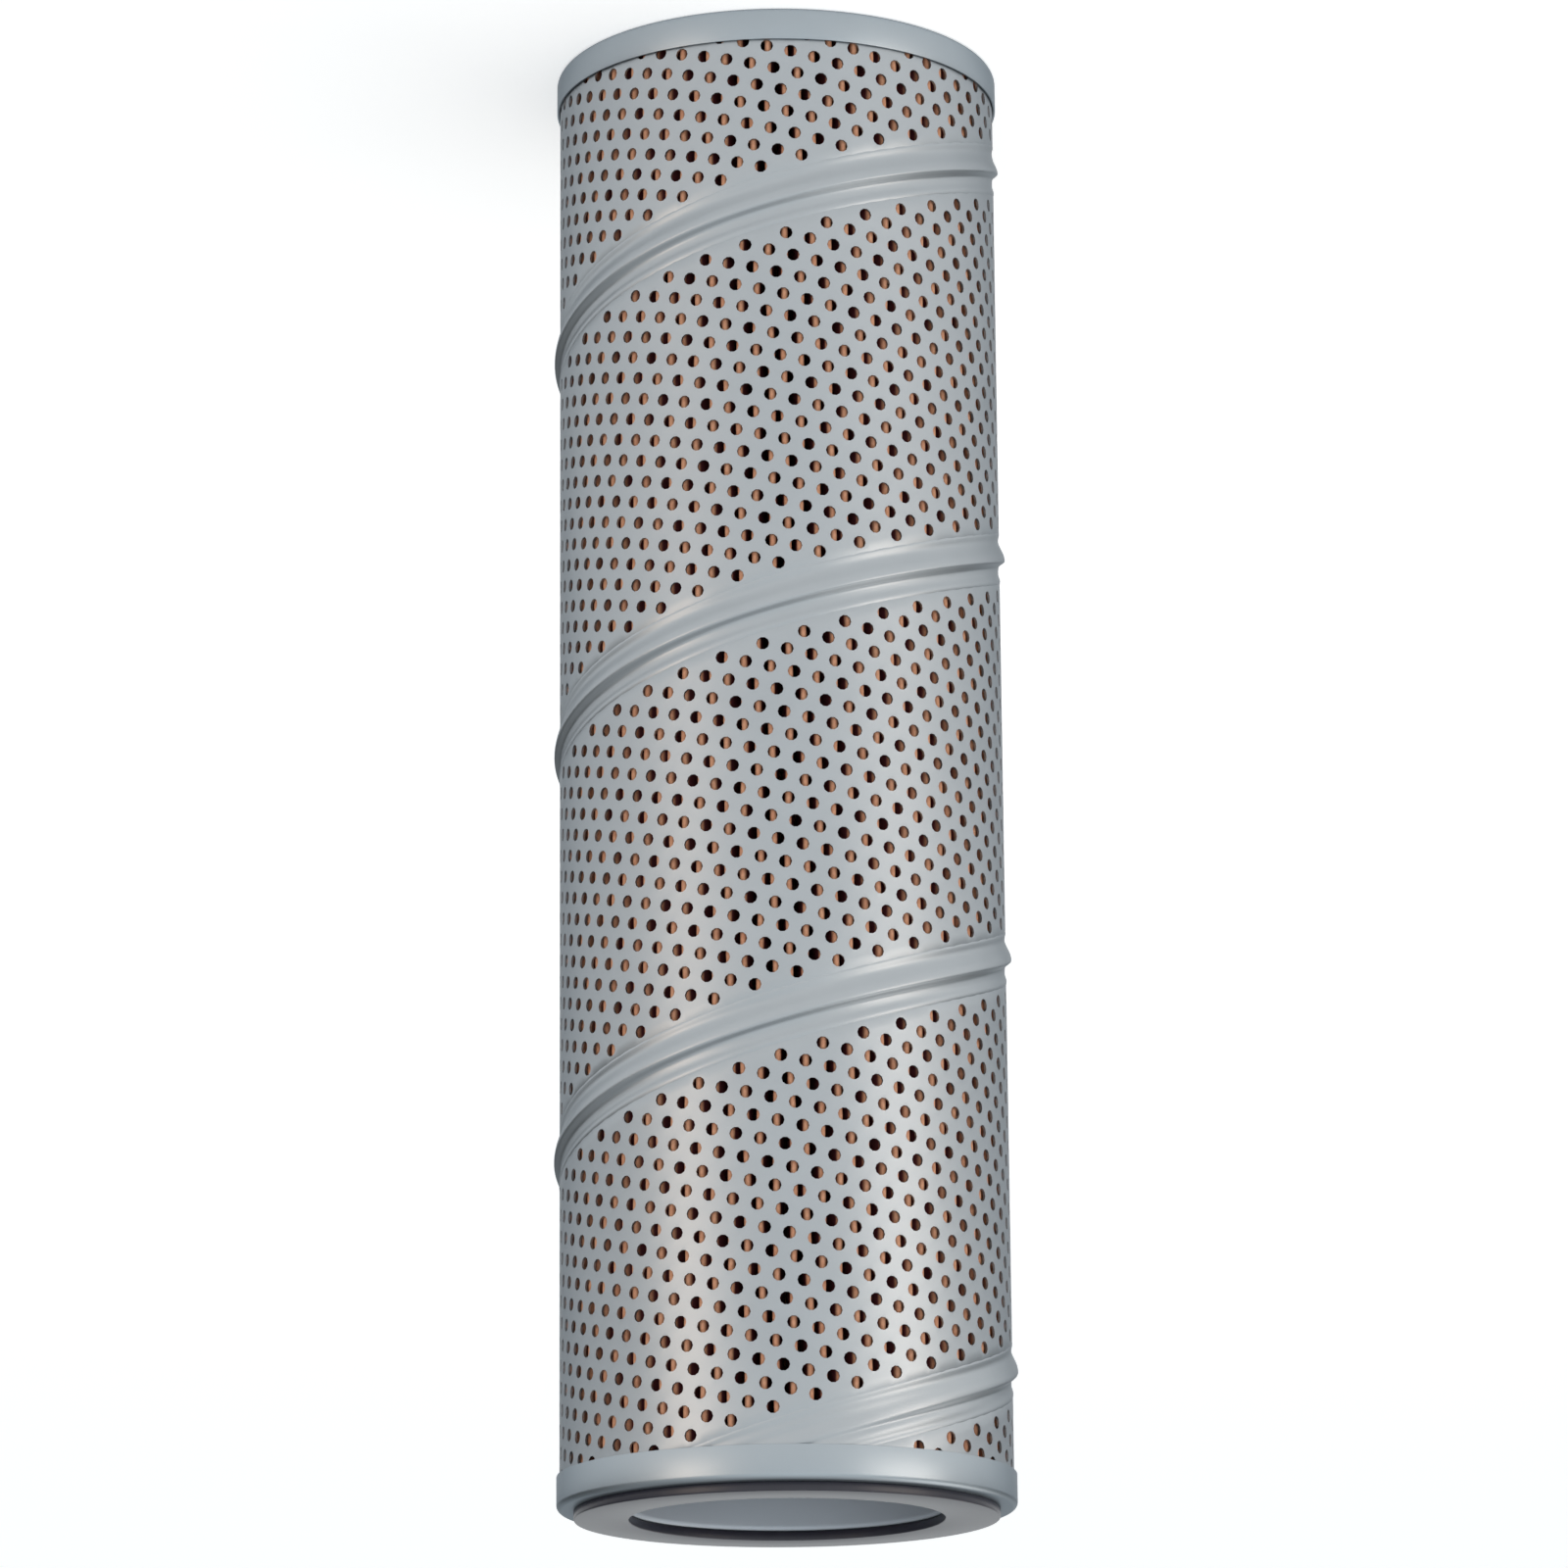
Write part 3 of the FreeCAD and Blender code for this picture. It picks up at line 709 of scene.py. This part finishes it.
# %% Place the camera
PICTURE = 1600
FOCAL_PIXELS = 6635.5
SENSOR_MM = 36
DISTANCE = 1376.06
ELEVATION = math.radians(14.0766)
ROLL = -0.00784
AIM_RIGHT, AIM_UP = -0.0004, 0.00018
middle = Vector((0, 0, GASKET_TOP / 2))
back = Vector((0, -math.cos(ELEVATION), math.sin(ELEVATION)))
right = Vector((1, 0, 0))
up = right.cross(-back)
forward = (-back + right * AIM_RIGHT + up * AIM_UP).normalized()
right = forward.cross(up).normalized()
up = right.cross(forward)
rolled_right = right * math.cos(ROLL) + up * math.sin(ROLL)
rolled_up = up * math.cos(ROLL) - right * math.sin(ROLL)
camera_data = bpy.data.cameras.new("camera")
camera_data.sensor_width = SENSOR_MM
camera_data.lens = FOCAL_PIXELS / PICTURE * camera_data.sensor_width
camera = bpy.data.objects.new("camera", camera_data)
bpy.context.scene.collection.objects.link(camera)
turned = Matrix((-rolled_right, -rolled_up, -forward)).transposed()
camera.matrix_world = Matrix.Translation((middle + back * DISTANCE) * MM) @ turned.to_4x4()
bpy.context.scene.camera = camera
print("lens %.1f mm" % camera_data.lens)

# %% [markdown]
# ## Floor and light
# The studio is plain: a white floor, a pale room that is brighter on the camera's side, and three
# soft boxes. The reflections of two are the light bands along the tube. The third hangs above and
# behind, and lights the seam's steep flank and the outlet. The floor is lit as any surface, so it
# takes the element's shadow, and a weak glow lifts it to white. Only the camera, reflections and
# clear bodies see that glow, so metal mirrors a white floor and matt surfaces get no light from it.

# %% Lay the floor
FLOOR_SIZE = 12.0
half = FLOOR_SIZE / 2
floor_mesh = bpy.data.meshes.new("floor")
floor_mesh.from_pydata([(-half, -half, 0), (half, -half, 0), (half, half, 0), (-half, half, 0)],
                       [], [(0, 1, 2, 3)])
floor = bpy.data.objects.new("floor", floor_mesh)
bpy.context.scene.collection.objects.link(floor)
print("floor %.0f m wide" % FLOOR_SIZE)

# %% Mix the floor's finish
FLOOR_GLOW = 0.42
floor_finish, tree = new_finish("white_floor")
seen = add_node(tree, "ShaderNodeLightPath").outputs
lit = add_node(tree, "ShaderNodeBsdfDiffuse", {"Color": linear("#F8F8F8")})
direct = add_node(tree, "ShaderNodeMath", {"operation": "MAXIMUM"},
                  {0: seen["Is Camera Ray"], 1: seen["Is Glossy Ray"]})
through = add_node(tree, "ShaderNodeMath", {"operation": "MAXIMUM"},
                   {0: direct.outputs[0], 1: seen["Is Transmission Ray"]})
strength = add_node(tree, "ShaderNodeMath", {"operation": "MULTIPLY", 1: FLOOR_GLOW},
                    {0: through.outputs[0]})
glow = add_node(tree, "ShaderNodeEmission", {"Color": linear("#FFFFFF")},
                {"Strength": strength.outputs[0]})
both = add_node(tree, "ShaderNodeAddShader", links={0: lit.outputs[0], 1: glow.outputs[0]})
add_node(tree, "ShaderNodeOutputMaterial", links={"Surface": both.outputs[0]})
floor_mesh.materials.append(floor_finish)

# %% Light the room
# each stop of the walls: place from the camera's side (0) to the far side (1), brightness
WALLS = [(0.0, 1.0), (0.2, 0.8), (0.3, 0.52), (0.45, 0.36), (0.6, 0.2), (0.9, 0.18), (0.96, 0.9),
         (1.0, 1.0)]
WALL_LIGHT = 1.045
# what the room's brightness gains toward +X, toward +Y and upward
SLANT = (-0.14, 0, 0.26)
world = bpy.data.worlds.new("pale_room")
world.use_nodes = True
tree = world.node_tree
tree.nodes.clear()
direction = add_node(tree, "ShaderNodeTexCoord").outputs["Generated"]
parts = add_node(tree, "ShaderNodeSeparateXYZ", links={"Vector": direction}).outputs
depth = add_node(tree, "ShaderNodeMapRange", {"From Min": -1.0, "From Max": 1.0},
                 {"Value": parts["Y"]})
walls = add_node(tree, "ShaderNodeValToRGB", links={"Fac": depth.outputs["Result"]})
stops = walls.color_ramp.elements
for place, level in WALLS[1:-1]:
    stops.new(place)
for stop, (place, level) in zip(stops, WALLS):
    stop.color = (level, level, level, 1.0)
slant = add_node(tree, "ShaderNodeVectorMath", {"operation": "DOT_PRODUCT", 1: SLANT},
                 {0: direction})
total = add_node(tree, "ShaderNodeMath", {"operation": "ADD"},
                 {0: walls.outputs["Color"], 1: slant.outputs["Value"]})
bright = add_node(tree, "ShaderNodeMath", {"operation": "MULTIPLY", 1: WALL_LIGHT},
                  {0: total.outputs[0]})
sky = add_node(tree, "ShaderNodeBackground", {"Color": linear("#F8FDFF")},
               {"Strength": bright.outputs[0]})
add_node(tree, "ShaderNodeOutputWorld", links={"Surface": sky.outputs["Background"]})
bpy.context.scene.world = world
bpy.context.scene.view_settings.view_transform = "Standard"
print("the room has %d stops of brightness" % len(stops))

# %% Hang the soft boxes
AIM_HEIGHT = 0.16


def soft_box(name, azimuth, height, distance, side, tall, power, colour):
    """a soft box that faces the element, in metres and watts; azimuth is degrees round it from the
    camera's side"""
    lamp = bpy.data.lights.new(name, "AREA")
    lamp.shape = "RECTANGLE"
    lamp.size = side
    lamp.size_y = tall
    lamp.energy = power
    lamp.color = linear(colour)[:3]
    box = bpy.data.objects.new(name, lamp)
    bpy.context.scene.collection.objects.link(box)
    turn = math.radians(azimuth)
    box.location = Vector((math.sin(turn) * distance, -math.cos(turn) * distance, height))
    aim = Vector((0, 0, AIM_HEIGHT)) - box.location
    box.rotation_euler = aim.to_track_quat("-Z", "Y").to_euler()
    print("%s: %.2f by %.2f m, %.1f m away" % (name, side, tall, aim.length))


soft_box("key_box", azimuth=-60, height=0.25, distance=1.3, side=0.8, tall=0.36, power=2.55,
         colour="#FFF0E2")
soft_box("fill_box", azimuth=48, height=0.22, distance=1.3, side=0.48, tall=0.32, power=1.6,
         colour="#FFE3CB")
soft_box("top_box", azimuth=-115, height=1.2, distance=0.9, side=1.2, tall=0.7, power=3.4,
         colour="#FFF9F2")
